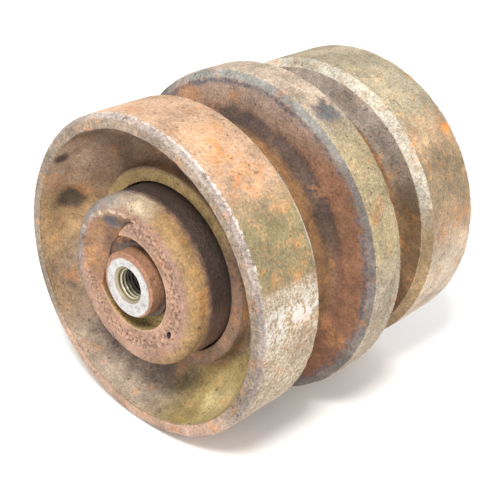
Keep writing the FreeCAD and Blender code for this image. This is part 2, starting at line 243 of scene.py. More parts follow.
def rounded_outline(corners, closed=True):
    """Points along (radius, station, round, step) corners in mm; a step spaces the run after its corner."""
    places = np.array([corner[:2] for corner in corners], float)
    count = len(corners)
    arcs = []
    for index, (_, _, round_radius, _) in enumerate(corners):
        here = places[index]
        at_end = not closed and index in (0, count - 1)
        if round_radius <= 0 or at_end:
            arcs.append([here])
            continue
        back = places[index - 1] - here
        on = places[(index + 1) % count] - here
        back /= np.linalg.norm(back)
        on /= np.linalg.norm(on)
        half = math.acos(float(np.clip(back @ on, -1, 1))) / 2
        reach = round_radius / math.tan(half)
        inward = back + on
        centre = here + inward / np.linalg.norm(inward) * round_radius / math.sin(half)
        spoke_in = here + back * reach - centre
        spoke_out = here + on * reach - centre
        sweep = math.pi - 2 * half
        pieces = max(2, math.ceil(sweep * round_radius / ARC_STEP))
        turn = np.linspace(0, 1, pieces + 1)[:, None]
        arcs.append(list(
            centre + (np.sin((1 - turn) * sweep) * spoke_in + np.sin(turn * sweep) * spoke_out)
            / math.sin(sweep)))
    points = []
    for index, arc in enumerate(arcs):
        points.extend(arc)
        if not closed and index == count - 1:
            break
        start = arc[-1]
        run = arcs[(index + 1) % count][0] - start
        length = float(np.linalg.norm(run))
        parts = max(1, round(length / corners[index][3]))
        points.extend(start + run * part / parts for part in range(1, parts))
    return np.array(points)


def turned_grid(outline, angles):
    """Rings of points in metres: one outline, or one for each column, turned to angles in degrees."""
    if outline.ndim == 2:
        outline = np.repeat(outline[:, None], np.shape(angles)[-1], 1)
    turn = np.radians(np.atleast_2d(angles))
    radius, station = outline[..., 0], outline[..., 1]
    return np.stack([radius * np.cos(turn), station, radius * np.sin(turn)], -1) * MM


def turned_over(points, end):
    """The same points at the rear end, or turned half round about X for the front end."""
    return points * np.array([1, end, end])


def outward_normals(points):
    """A unit normal at every point of a grid, away from the metal."""
    along = np.roll(points, -1, 0) - np.roll(points, 1, 0)
    across = np.roll(points, -1, 1) - np.roll(points, 1, 1)
    normals = np.cross(along, across)
    normals /= np.maximum(np.linalg.norm(normals, axis=-1, keepdims=True), 1e-12)
    widest = np.unravel_index(np.argmax(np.hypot(points[..., 0], points[..., 2])), points.shape[:2])
    spoke = points[widest] * np.array([1, 0, 1])
    return normals if normals[widest] @ spoke > 0 else -normals


def clouds(points, size, octaves=4, shift=0.0):
    """Soft random heights, mostly from -1 to 1, with lumps of about size metres."""
    flat = points.reshape(-1, 3) / size + shift
    heights = [noise.fractal(Vector(place), 0.9, 2.0, octaves) for place in flat]
    return np.array(heights).reshape(points.shape[:2])


def near(values, centre, width):
    """1 at the centre, fading to 0 a few widths away."""
    return np.exp(-((values - centre) / width) ** 2)


def rise(values, low, high):
    """0 below low, 1 above high, smooth between."""
    share = np.clip((values - low) / (high - low), 0, 1)
    return share * share * (3 - 2 * share)


def grid_object(name, points, poles=False):
    """A closed mesh object from rings of points; the last ring joins the first unless both are poles."""
    rings, columns = points.shape[:2]
    index = np.arange(rings * columns).reshape(rings, columns)
    ahead = np.roll(index, -1, 0)
    quads = np.stack([index, ahead, np.roll(ahead, -1, 1), np.roll(index, -1, 1)], -1)
    if poles:
        quads = quads[:-1]
    quads = quads.reshape(-1, 4)
    places = points.reshape(-1, 3)
    corners = places[quads]
    volume = np.einsum("ij,ij->i", corners[:, 0], np.cross(corners[:, 1], corners[:, 2])).sum()
    volume += np.einsum("ij,ij->i", corners[:, 0], np.cross(corners[:, 2], corners[:, 3])).sum()
    if volume < 0:
        quads = quads[:, ::-1]
    mesh = bpy.data.meshes.new(name)
    mesh.from_pydata(places.tolist(), [], quads.tolist())
    if poles:
        work = bmesh.new()
        work.from_mesh(mesh)
        bmesh.ops.remove_doubles(work, verts=work.verts, dist=1e-7)
        work.to_mesh(mesh)
        work.free()
    mesh.update()
    made = bpy.data.objects.new(name, mesh)
    bpy.context.scene.collection.objects.link(made)
    return made


def drilled(made, holes):
    """Cuts round holes through an object; each hole is (radius, start, end) in metres."""
    work = bmesh.new()
    for radius, start, end in holes:
        start, end = Vector(start), Vector(end)
        run = end - start
        place = Matrix.Translation((start + end) / 2) @ run.to_track_quat("Z", "Y").to_matrix().to_4x4()
        bmesh.ops.create_cone(
            work, cap_ends=True, segments=DRILL_SIDES, radius1=radius, radius2=radius,
            depth=run.length, matrix=place)
    mesh = bpy.data.meshes.new(made.name + "_drill")
    work.to_mesh(mesh)
    work.free()
    drill = bpy.data.objects.new(mesh.name, mesh)
    bpy.context.scene.collection.objects.link(drill)
    cut = made.modifiers.new("Holes", "BOOLEAN")
    cut.operation = "DIFFERENCE"
    cut.solver = "MANIFOLD"
    cut.object = drill
    bpy.context.view_layer.update()
    result = bpy.data.meshes.new_from_object(made.evaluated_get(bpy.context.evaluated_depsgraph_get()))
    made.modifiers.clear()
    old = made.data
    made.data = result
    bpy.data.meshes.remove(old)
    bpy.data.objects.remove(drill)
    bpy.data.meshes.remove(mesh)


def finished(made, material, body, node):
    """Smooth shading, finish, body, replaced node and slot of one new piece."""
    mesh = made.data
    mesh.materials.clear()
    mesh.materials.append(material)
    mesh.polygons.foreach_set("use_smooth", [True] * len(mesh.polygons))
    mesh.set_sharp_from_angle(angle=math.radians(SHARP_ANGLE))
    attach(made, body)
    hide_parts(node)


# ---------------------------------------------------------------- finishes

class Field:
    """A value that varies over a surface; arithmetic on it adds Math nodes."""

    def __init__(self, finish, socket):
        self.finish = finish
        self.socket = socket

    def __add__(self, other):
        return self.finish.math("ADD", self, other)

    def __radd__(self, other):
        return self.finish.math("ADD", other, self)

    def __sub__(self, other):
        return self.finish.math("SUBTRACT", self, other)

    def __rsub__(self, other):
        return self.finish.math("SUBTRACT", other, self)

    def __mul__(self, other):
        return self.finish.math("MULTIPLY", self, other)

    def __rmul__(self, other):
        return self.finish.math("MULTIPLY", other, self)


class Finish:
    """One node material, with the roller's own measures in mm and degrees ready to use."""

    def __init__(self, name):
        self.material = bpy.data.materials.new(name)
        self.material.use_nodes = True
        self.tree = self.material.node_tree
        self.tree.nodes.clear()
        self.output = self.tree.nodes.new("ShaderNodeOutputMaterial")
        self.shader = self.tree.nodes.new("ShaderNodeBsdfPrincipled")
        self.tree.links.new(self.shader.outputs[0], self.output.inputs[0])
        coordinates = self.node("ShaderNodeTexCoord")
        self.place = self.node(
            "ShaderNodeVectorMath", {"operation": "SCALE"},
            {0: coordinates.outputs["Object"], "Scale": 1 / MM}).outputs[0]
        parts = self.node("ShaderNodeSeparateXYZ", {}, {0: self.place})
        self.x, self.y, self.z = (Field(self, socket) for socket in parts.outputs)
        self.station = self.math("ABSOLUTE", self.y)
        self.radius = self.math("SQRT", self.x * self.x + self.z * self.z)
        self.turn = self.math("DEGREES", self.math("ARCTAN2", self.z, self.x))

    def node(self, kind, settings=None, values=None):
        """A node of any kind; settings are set first, then the values or links of its sockets."""
        made = self.tree.nodes.new(kind)
        for name, setting in (settings or {}).items():
            if name == "stops":
                self.set_stops(made.color_ramp.elements, setting)
            else:
                setattr(made, name, setting)
        for key, value in (values or {}).items():
            self.feed(made.inputs[key], value)
        return made

    def set_stops(self, elements, stops):
        """Fills a ramp with (position, colour) stops."""
        while len(elements) < len(stops):
            elements.new(1.0)
        for element, (position, colour) in zip(elements, stops):
            element.position = position
            element.color = (*colour, 1)

    def feed(self, socket, value):
        """Sets a socket to a value, or links it to a field or another socket."""
        if isinstance(value, Field):
            value = value.socket
        if isinstance(value, bpy.types.NodeSocket):
            self.tree.links.new(value, socket)
        elif socket.type == "RGBA":
            socket.default_value = (*value, 1.0)
        else:
            socket.default_value = value

    def math(self, operation, first, second=0.0):
        """One Math node."""
        made = self.node("ShaderNodeMath", {"operation": operation}, {0: first, 1: second})
        return Field(self, made.outputs[0])

    def rise(self, value, low, high):
        """0 at low, 1 at high, smooth between; low may be the larger."""
        made = self.node(
            "ShaderNodeMapRange", {"interpolation_type": "SMOOTHSTEP"},
            {"Value": value, "From Min": low, "From Max": high})
        return Field(self, made.outputs[0])

    def band(self, value, low, high, soft):
        """1 from low to high, with soft ends."""
        return self.rise(value, low - soft, low + soft) * self.rise(value, high + soft, high - soft)

    def distance(self, x, y, z):
        """Distance in mm from a point."""
        made = self.node("ShaderNodeVectorMath", {"operation": "DISTANCE"}, {0: self.place, 1: (x, y, z)})
        return Field(self, made.outputs["Value"])

    def mark(self, place, edge, full, ragged):
        """1 within full mm of a place and 0 beyond edge mm, with a ragged outline."""
        return self.rise(self.distance(*place) + ragged, edge, full)

    def clouds(self, size, detail=3.0, rough=0.55, shift=0.0):
        """Soft random values round 0.5, with lumps of about size mm."""
        moved = self.node(
            "ShaderNodeMapping", {"vector_type": "POINT"},
            {"Vector": self.place, "Location": (shift, shift * 0.7, -shift), "Scale": (1 / size,) * 3})
        made = self.node(
            "ShaderNodeTexNoise", {"noise_dimensions": "3D"},
            {"Vector": moved.outputs[0], "Scale": 1.0, "Detail": detail, "Roughness": rough})
        return Field(self, made.outputs[0])

    def shades(self, value, *stops):
        """A colour that follows a value through (position, colour) stops."""
        return self.node("ShaderNodeValToRGB", {"stops": stops}, {0: value}).outputs[0]

    def tones(self, value, colour, spread=0.28):
        """One colour varied by a value round 0.5: darker where it is low, paler where it is high."""
        dark = tuple(channel * (1 - spread) for channel in colour)
        pale = tuple(min(1.0, channel * (1 + spread)) for channel in colour)
        return self.shades(value, (0.36, dark), (0.5, colour), (0.64, pale))

    def over(self, under, colour, share, blend="MIX"):
        """A colour laid over another by a share."""
        made = self.node(
            "ShaderNodeMix", {"data_type": "RGBA", "blend_type": blend},
            {0: share, 6: under, 7: colour})
        return made.outputs[2]

    def coat(self, under, colour, share, mottle, spread=0.28):
        """A colour varied by a mottle round 0.5, laid over another by a share."""
        return self.over(under, self.tones(mottle, colour, spread), share)

    def weathered(self, colour, rust, dirt, strength, shift=0.0):
        """Adds rust bloom, dirt specks, broad stains and grain to a colour."""
        bloom = self.rise(self.clouds(15, 6, 0.68, 21 + shift), 0.54, 0.66)
        colour = self.over(colour, rust, bloom * 0.35 * strength)
        crust = self.rise(self.clouds(3.2, 4, 0.6, 41 + shift), 0.62, 0.67)
        colour = self.over(colour, dirt, crust * 0.7 * strength)
        stain = self.tones(self.clouds(26, 6, 0.7, 51 + shift), GREY_HALF, 0.65)
        colour = self.over(colour, stain, 0.45 * strength, "OVERLAY")
        grit = self.tones(self.clouds(1.5, 3, 0.75, 61 + shift), GREY_HALF, 0.75)
        return self.over(colour, grit, 0.32 * strength, "OVERLAY")

    def hollows(self):
        """1 in the hollows of the mesh, 0 on its flats and edges."""
        made = self.node("ShaderNodeNewGeometry")
        return self.rise(Field(self, made.outputs["Pointiness"]), 0.495, 0.46)

    def peaks(self):
        """1 on the ridges of the mesh, 0 on its flats and in its hollows."""
        made = self.node("ShaderNodeNewGeometry")
        return self.rise(Field(self, made.outputs["Pointiness"]), 0.505, 0.54)

    def done(self, colour, roughness, metallic=0.0, height=None, depth=0.25):
        """Feeds the shader; height in shares of depth mm goes through a Bump node."""
        for key, value in (("Base Color", colour), ("Roughness", roughness), ("Metallic", metallic)):
            self.feed(self.shader.inputs[key], value)
        if height is not None:
            bump = self.node(
                "ShaderNodeBump", {}, {"Strength": 1.0, "Distance": depth * MM, "Height": height})
            self.tree.links.new(bump.outputs[0], self.shader.inputs["Normal"])
        return self.material


def paint_webs(iron, colours, colour, mottle, fine, middle, broad):
    """Webs, the walls beside the grooves, the barrel, and painted shade at their feet."""
    radius, station = iron.radius, iron.station
    high = iron.rise(iron.z, 62, 100)
    colour = iron.coat(colour, colours.web_high, high * 0.8, mottle)
    wall = iron.rise(station, BARREL_END - 3, BARREL_END)
    wall = wall * iron.rise(radius, SHOULDER_RADIUS + 0.5, SHOULDER_RADIUS - 1)
    wall = wall * iron.rise(radius, BARREL_RADIUS - 1, BARREL_RADIUS + 2)
    colour = iron.coat(colour, colours.groove_wall, wall, mottle)
    colour = iron.coat(colour, colours.groove_wall_high, wall * iron.rise(iron.z, 20, 80), mottle)
    outer = iron.rise(radius, 70, 75)
    barrel = iron.rise(radius, BARREL_RADIUS + 2.6, BARREL_RADIUS + 0.6) * outer
    barrel = barrel * iron.rise(station, BARREL_END + 2, BARREL_END)
    colour = iron.coat(colour, colours.barrel, barrel * 0.95, mottle, 0.4)
    # Painted shade at the roots of the flange's sides, stronger towards the top.
    shaded_foot = iron.rise(radius + (middle - 0.5) * 5, 87, 82) * iron.rise(station + (middle - 0.5) * 8, 29, 20)
    shaded_foot = shaded_foot * iron.rise(iron.z, -30, 50) * outer
    colour = iron.coat(colour, colours.shaded_foot, shaded_foot * 0.9, fine * 0.5 + broad * 0.5, 0.5)
    scuff = iron.band(radius + (middle - 0.5) * 8, RIM_RADIUS - 1.6, RIM_RADIUS + 1.4, 1.4)
    scuff = scuff * iron.rise(middle * 0.6 + broad * 0.4, 0.4, 0.52)
    colour = iron.coat(colour, colours.blue_film, scuff * iron.rise(station, 20, 16) * 0.85, fine, 0.4)
    bevel = iron.rise(radius, RIM_RADIUS + 1, RIM_RADIUS + 2)
    bevel = bevel * iron.rise(radius, FLANGE_RADIUS + 0.1, FLANGE_RADIUS - 0.7)
    colour = iron.coat(colour, colours.bevel, bevel * 0.9, mottle)
    return iron.coat(colour, colours.bevel_high, bevel * high * 0.9, mottle)


def paint_flange_tread(iron, colours, colour, speckle, middle, angle):
    """The centre flange's rolling surface."""
    flange = iron.rise(iron.radius, FLANGE_RADIUS - 0.9, FLANGE_RADIUS - 0.3)
    colour = iron.coat(colour, colours.flange_tread, flange, speckle, 0.4)
    olive = iron.band(angle, *FLANGE_OLIVE_ARC)
    colour = iron.coat(colour, colours.flange_olive, flange * olive * 0.85, speckle, 0.35)
    crown = iron.band(angle, *FLANGE_CROWN_ARC)
    colour = iron.coat(colour, colours.flange_crown, flange * crown * 0.85, speckle, 0.35)
    patch = iron.band(angle, *FLANGE_PATCH_ARC) * iron.band(iron.y + (middle - 0.5) * 14, -8, 9, 3)
    return iron.coat(colour, colours.blue_film, flange * patch * 0.85, middle)


def paint_rims(iron, colours, colour, mottle, speckle, middle, fine, angle):
    """Rolling surfaces of the two rims and the shoulders beside the grooves, with a painted highlight low on
    the rear tread and a worn patch on the front tread that is partly painted light.
    """
    station = iron.station
    front = iron.rise(iron.y, 0.5, -0.5)
    shoulder = iron.rise(iron.radius, SHOULDER_RADIUS - 0.3, SHOULDER_RADIUS + 0.5)
    shoulder = shoulder * iron.band(station, SHOULDER_START - 1.5, RIM_START + 0.7, 0.6)
    colour = iron.coat(colour, colours.shoulder, shoulder, speckle, 0.45)
    bitten = iron.rise(middle * 0.6 + fine * 0.4, 0.5, 0.57)
    colour = iron.coat(colour, colours.shoulder_low, shoulder * bitten * 0.6, mottle)
    colour = iron.coat(colour, colours.shoulder_low, shoulder * iron.rise(iron.z, 42, 10), mottle)
    rim = iron.rise(iron.radius, RIM_RADIUS - 1.3, RIM_RADIUS - 0.5)
    rim = rim * iron.rise(station, RIM_START - 0.3, RIM_START + 0.7)
    at_front = rim * front
    at_rear = rim - at_front
    colour = iron.coat(colour, colours.tread_tan, rim, speckle)
    olive = iron.band(angle, *FRONT_OLIVE_ARC)
    colour = iron.coat(colour, colours.tread_olive, olive * at_front, mottle, 0.18)
    salmon = iron.band(angle, *FRONT_SALMON_ARC)
    colour = iron.coat(colour, colours.tread_salmon, salmon * at_front, speckle, 0.18)
    flame = iron.rise(middle * 0.6 + fine * 0.4, 0.44, 0.58) * iron.band(angle, *FRONT_FLAME_ARC)
    flame = flame * iron.band(station, 72, 90, 8) * at_front
    colour = iron.coat(colour, colours.orange_rust, flame * 0.9, fine)
    crown = iron.band(angle, *REAR_CROWN_ARC)
    colour = iron.coat(colour, colours.rear_tread, crown * at_rear, speckle, 0.25)
    rear_olive = iron.band(angle, *REAR_OLIVE_ARC)
    colour = iron.coat(colour, colours.rear_olive, rear_olive * at_rear, mottle, 0.25)
    # Painted highlight on the lower part of the rear tread.
    pale = iron.band(angle, *REAR_HIGHLIGHT_ARC)
    colour = iron.coat(colour, colours.rear_lower_highlight, pale * at_rear * 0.9, speckle, 0.25)
    gilt = iron.rise(middle, 0.48, 0.58) * iron.band(angle, *REAR_GILT_ARC) * iron.band(station, 57, 74, 5)
    colour = iron.coat(colour, colours.gilt, gilt * at_rear * 0.6, fine)
    flecks = iron.rise(fine * 0.6 + middle * 0.4, 0.55, 0.6) * iron.band(angle, *FLECK_ARC)
    colour = iron.over(colour, colours.orange_rust, flecks * rim * 0.55)
    blob = iron.mark(*REAR_RUST_BLOB, (middle - 0.5) * 6)
    colour = iron.over(colour, colours.orange_rust, blob * at_rear * 0.95)
    # The worn patch low on the front tread: worn metal, painted paler in part as painted light.
    worn = iron.band(iron.turn + (fine - 0.5) * 3, *WORN_AND_LIT_ARC) * iron.rise(angle, -52, -30) * at_front
    bright = iron.shades(
        speckle, (0.4, colours.tread_worn_dark), (0.5, colours.tread_worn_and_lit), (0.6, colours.tread_bare_and_lit))
    colour = iron.over(colour, bright, worn)
    bald = iron.band(iron.turn + (middle - 0.5) * 10, *BALD_ARC) * worn
    bald = bald * iron.rise(fine * 0.4 + middle * 0.6, 0.46, 0.54)
    return iron.over(colour, colours.bare_steel_and_highlight, bald * 0.75), rim, worn


def paint_cups(iron, colours, colour, mottle, middle, ragged):
    """The dished ends round the bosses, with painted shade on their upper side and round the bosses' outer
    edge, and a patch of painted light in the front one.
    """
    radius, station = iron.radius, iron.station
    cup = iron.rise(radius, BOSS_RADIUS - 0.2, BOSS_RADIUS + 0.4)
    cup = cup * iron.rise(radius, LIP_RADIUS + 3, LIP_RADIUS + 2) * iron.band(station, 66, LIP_END - 0.9, 0.4)
    colour = iron.coat(colour, colours.cup, cup, mottle, 0.3)
    # Painted shade on the upper side of the cups, which faces away from the lamp.
    upper_shade = iron.rise(iron.z + ragged, 10, 50) * iron.rise(iron.x, 55, 20)
    colour = iron.coat(colour, colours.cup_shade, cup * upper_shade * 0.8, mottle)
    # Painted light: a paler patch on the left wall of the front cup, where the lamp falls.
    lit = iron.mark(*CUP_LIT_PATCH, ragged)
    colour = iron.coat(colour, colours.cup_lit, cup * lit * 0.85, mottle)
    low = iron.rise(iron.z + ragged, 0, -34)
    grey = cup * low * iron.rise(radius + ragged * 0.6, 95, 84)
    colour = iron.coat(colour, colours.cup_grey, grey * 0.9, mottle)
    swirl = cup * iron.rise(iron.z + ragged, -48, -74) * iron.rise(radius + ragged, 80, 92)
    colour = iron.coat(colour, colours.cup_low, swirl * 0.7, mottle)
    floor = iron.rise(iron.z + ragged, -14, -44) * iron.rise(iron.x + ragged, -8, 34)
    colour = iron.coat(colour, colours.khaki, cup * floor * 0.95, mottle, 0.3)
    pool = iron.mark(*CUP_DIRT_POOL, ragged)
    colour = iron.coat(colour, colours.khaki_pale, cup * pool * 0.8, mottle)
    for place, edge, full, raggedness in CUP_STAINS:
        stain = iron.mark(place, edge, full, ragged * raggedness)
        colour = iron.over(colour, colours.soot_and_shade, cup * stain * 0.85)
    boss = iron.band(radius, BOSS_BORE - 0.8, BOSS_RADIUS + 0.1, 0.4) * iron.rise(station, 64, 65)
    colour = iron.coat(colour, colours.boss, boss, mottle, 0.35)
    crescent = iron.rise(iron.z - iron.x * 0.3 + ragged, 8, 34)
    colour = iron.coat(colour, colours.boss_high, boss * crescent * 0.95, mottle, 0.35)
    # Painted shade round the outer edge of each boss.
    brim_shade = iron.rise(radius + ragged * 0.25, 60, 63)
    colour = iron.coat(colour, colours.cup_shade, boss * brim_shade * 0.8, mottle)
    wall = iron.band(radius, 62.2, 68, 1.5) * iron.band(station, 68, 78.5, 1)
    return iron.coat(colour, colours.boss, wall * 0.7, mottle)


def paint_lips(iron, colours, colour, speckle, mottle, middle, fine, ragged, angle):
    """The ends of the rims, their scuffed corners and the broken bright line along them: a painted highlight,
    partly worn metal.
    """
    radius, station = iron.radius, iron.station
    lip = iron.rise(radius, LIP_RADIUS - 0.4, LIP_RADIUS + 0.6)
    lip = lip * iron.rise(station, LIP_END - 1.3, LIP_END - 0.5)
    colour = iron.coat(colour, colours.lip, lip, speckle, 0.4)
    colour = iron.coat(colour, colours.lip_low, lip * iron.rise(iron.z + ragged, -48, -76) * 0.85, mottle)
    corner = iron.rise(radius + (middle - 0.5) * 2, RIM_RADIUS - 3.4, RIM_RADIUS - 2.6)
    corner = corner * iron.rise(station, RIM_EDGE - 0.3, RIM_EDGE + 0.3)
    colour = iron.coat(colour, colours.lip_corner, corner * 0.75, speckle, 0.4)
    colour = iron.coat(colour, colours.lip_low, corner * iron.rise(iron.z + ragged, -50, -75) * 0.8, mottle)
    # Painted highlight: a broken bright line along the upper part of the rims' outer edges, partly worn
    # metal.
    glint = iron.band(radius, RIM_RADIUS - 0.7, RIM_RADIUS + 1, 0.4)
    glint = glint * iron.band(station, RIM_EDGE - 0.8, RIM_EDGE + 0.9, 0.5) * iron.band(angle, *GLINT_ARC)
    glint = glint * iron.rise(middle * 0.4 + fine * 0.6, 0.48, 0.54)
    return iron.over(colour, colours.bare_steel_and_highlight, glint * 0.85), glint


def shell_finish(colours):
    """Rusted iron: a cast skin in cups and grooves, worn treads, lips and edges, painted shade in the upper
    cups and groove roots, and painted highlights and light on the treads and rim edges.
    """
    iron = Finish("worn_shell_iron")
    broad, middle = iron.clouds(30, 3), iron.clouds(7, 4, 0.6, 3.0)
    fine, grain = iron.clouds(1.7, 3, 0.65, 7.0), iron.clouds(0.8, 2, 0.5, 12.0)
    mottle = broad * 0.45 + middle * 0.35 + fine * 0.2
    speckle = middle * 0.2 + fine * 0.5 + grain * 0.3
    ragged = (middle - 0.5) * 14 + (fine - 0.5) * 8
    angle = iron.turn + ragged
    colour = iron.tones(mottle, colours.web, 0.35)
    colour = paint_webs(iron, colours, colour, mottle, fine, middle, broad)
    colour = paint_flange_tread(iron, colours, colour, speckle, middle, angle)
    colour, rim, worn = paint_rims(iron, colours, colour, mottle, speckle, middle, fine, angle)
    colour = paint_cups(iron, colours, colour, mottle, middle, ragged)
    colour, glint = paint_lips(iron, colours, colour, speckle, mottle, middle, fine, ragged, angle)
    colour = iron.weathered(colour, colours.orange_rust, colours.dirt, 1 - worn * 0.4)
    bare = worn * iron.rise(speckle, 0.48, 0.58) + glint
    roughness = 0.84 - bare * 0.34 - rim * 0.08
    return iron.done(colour, roughness, bare * 0.45, fine * 0.6 + grain * 0.4, 0.8)


def collar_finish(colours):
    """Rusted cast iron with a rough band on the face and near-black sides down in the cups, with painted
    shade in the snap ring recess, the ramp's bowl, the chip and the tooling hole, and a painted highlight on
    the ramp's raised edge.
    """
    iron = Finish("rusted_collar_iron")
    radius, station, turn = iron.radius, iron.station, iron.turn
    broad, middle = iron.clouds(20, 3, shift=1.5), iron.clouds(5, 4, 0.6, 4.0)
    fine, grain = iron.clouds(1.5, 3, 0.65, 8.0), iron.clouds(0.7, 2, 0.5, 13.0)
    mottle = broad * 0.45 + middle * 0.33 + fine * 0.22
    ragged = (middle - 0.5) * 10 + (fine - 0.5) * 4
    colour = iron.tones(mottle, colours.collar_face)
    shoulder = iron.rise(radius + ragged * 0.3, 44, 49) * iron.rise(station, 92, 97)
    golden = shoulder * iron.rise(iron.x + iron.z * 0.3 + ragged, -8, 22)
    colour = iron.coat(colour, colours.collar_gold, golden * 0.85, mottle, 0.3)
    crown = shoulder * iron.rise(iron.z + ragged, 34, 46) * iron.band(iron.x + ragged, -26, 12, 8)
    colour = iron.coat(colour, colours.collar_crown_and_highlight, crown * 0.85, mottle)
    upper = iron.rise(radius + ragged * 0.5, 43, 48)
    upper = upper * iron.rise(iron.x * 0.9 - iron.z * 0.45 + ragged, -22, -44)
    colour = iron.coat(colour, colours.collar_film, upper * 0.85, mottle, 0.25)
    bowl = iron.rise(station, COLLAR_FACE - 0.6, COLLAR_FACE - 2.3)
    bowl = bowl * iron.rise(station, POCKET_FLOOR - 0.7, POCKET_FLOOR + 0.3)
    bowl = bowl * iron.band(radius, POCKET_RADIUS + 0.2, 47, 0.8)
    colour = iron.coat(colour, colours.ramp, bowl * 0.85, mottle, 0.4)
    # Painted shade in the upper part of the ramp's bowl, in the dirt colour.
    valley_shade = iron.rise(radius + ragged * 0.4, 40, 31) * iron.rise(iron.z + ragged * 0.5, -4, 16)
    colour = iron.over(colour, colours.dirt, bowl * valley_shade * 0.8)
    # Painted highlight along the raised edge of the front collar's ramp.
    ridge_highlight = iron.band(radius - (turn - 95) * 0.095, 40.4, 43, 0.7) * iron.band(turn, *COLLAR_RIDGE_HIGHLIGHT_ARC)
    ridge_highlight = ridge_highlight * iron.rise(iron.y, 0, -1) * iron.rise(station, 102.5, 104) * iron.rise(middle, 0.42, 0.56)
    colour = iron.over(colour, colours.collar_crown_and_highlight, ridge_highlight * 0.8)
    # A dark blue-grey mark in the chip on the ramp's lip, partly painted shade.
    stain = iron.mark(*COLLAR_CHIP_SHADE, ragged * 0.3)
    colour = iron.over(colour, colours.blue_film, stain * 0.9)
    # Painted shade in the snap ring recess, in the dirt colour, and painted light in khaki on its lower wall.
    pocket_shade = iron.rise(radius, POCKET_RADIUS + 0.9, POCKET_RADIUS + 0.2) * iron.rise(station, 90, 95)
    colour = iron.coat(colour, colours.dirt, pocket_shade * 0.9, middle, 0.4)
    lit = pocket_shade * iron.rise(iron.z + ragged * 0.6, -12, -22)
    colour = iron.coat(colour, colours.khaki, lit * 0.85, fine, 0.4)
    # The sides down in the cups are painted near-black, less dark on their lower side.
    side = iron.rise(station + ragged * 0.5, 97, 90) * iron.rise(radius, 49.5, 51.5)
    lower_side = side * iron.rise(iron.z, 10, -20)
    colour = iron.weathered(colour, colours.orange_rust, colours.dirt, 0.9 - side * 0.5, 5.0)
    colour = iron.coat(colour, colours.collar_side, side * 0.94 - lower_side * 0.3, fine, 0.45)
    colour = iron.over(colour, colours.dirt, iron.hollows() * iron.rise(station, 97, 100) * 0.75)
    marks = iron.peaks() * iron.rise(radius, 43, 41)
    marks = marks * iron.rise(station, COLLAR_FACE - 1.1, COLLAR_FACE - 0.3)
    colour = iron.over(colour, colours.collar_marks, marks * 0.45)
    # Painted shade: the tooling hole is painted black.
    across, along = iron.x - TOOLING_HOLE_X, iron.z * iron.math("SIGN", iron.y) - TOOLING_HOLE_Z
    hole = iron.rise(iron.math("SQRT", across * across + along * along), 2.0, 1.85)
    colour = iron.over(colour, colours.soot_and_shade, hole * iron.rise(radius, 45, 44) * 0.95)
    return iron.done(colour, 0.84 - side * 0.2, 0.0, middle * 0.5 + fine * 0.35 + grain * 0.15, 2.0)


def shaft_finish(colours):
    """Turned steel, bright on the end faces, with painted highlights on the thread's crests, painted shade
    between them and painted shade far inside the bore.
    """
    steel = Finish("turned_shaft_steel")
    radius, station = steel.radius, steel.station
    middle = steel.clouds(5, 4, 0.65, 2.2)
    fine, grain = steel.clouds(1.2, 3, 0.6, 5.0), steel.clouds(0.6, 2, 0.5, 9.0)
    ragged = (middle - 0.5) * 4 + (fine - 0.5) * 2
    colour = steel.tones(middle, colours.shaft_steel)
    rust = steel.rise(radius + ragged + steel.z * 0.08 - steel.x * 0.02, 17.4, 18.6)
    rust = rust * steel.rise(station, 90, 96)
    colour = steel.coat(colour, colours.shaft_rust, rust, fine * 0.5 + middle * 0.5, 0.45)
    clean = 1 - rust
    face = steel.rise(radius, MOUTH_RADIUS - 0.5, MOUTH_RADIUS + 0.2) * clean
    face = face * steel.rise(station, SHAFT_END - 1.1, SHAFT_END - 0.3)
    bright = steel.shades(
        middle * 0.6 + fine * 0.4, (0.36, colours.shaft_steel), (0.47, colours.shaft_bright),
        (0.6, colours.bare_steel_and_highlight))
    colour = steel.over(colour, bright, face)
    specks = steel.rise(fine * 0.5 + grain * 0.5, 0.6, 0.64)
    colour = steel.over(colour, colours.dirt, face * specks * 0.7)
    bore = steel.rise(radius, MOUTH_RADIUS + 0.1, MOUTH_RADIUS - 0.2)
    bore = bore * steel.rise(station, SHAFT_END - 0.1, SHAFT_END - 0.5)
    # Painted highlight on the thread's crests and painted shade between them.
    crest = steel.rise(radius, BORE_RADIUS + 1.15, BORE_RADIUS + 0.15)
    colour = steel.over(colour, steel.over(colours.thread_valley_shade, colours.thread_crest_highlight, crest), bore)
    colour = steel.over(colour, colours.thread_mouth, bore * steel.rise(station, 106.2, 107.6) * 0.9)
    # Painted shade far inside the bore, reaching nearer the mouth on one side.
    deep_shade = steel.rise(radius, 11.0, 10.6) * steel.rise(station + steel.x * 0.35, 104, 97)
    colour = steel.over(colour, colours.soot_and_shade, deep_shade * 0.93)
    return steel.done(colour, 0.7 - clean * 0.28, clean * 0.5, fine * 0.5 + grain * 0.5, 0.15)


def plain_finish(name, colour, size, roughness, metallic, depth):
    """A mottled finish for one kind of small piece."""
    finish = Finish(name)
    middle, fine = finish.clouds(size, 4, 0.6, 1.0), finish.clouds(size / 4, 3, 0.6, 6.0)
    mottle = middle * 0.55 + fine * 0.45
    roughness = roughness - (fine - 0.5) * 0.3
    return finish.done(finish.tones(mottle, colour, 0.4), roughness, metallic, fine, depth)


# ---------------------------------------------------------------- the pieces

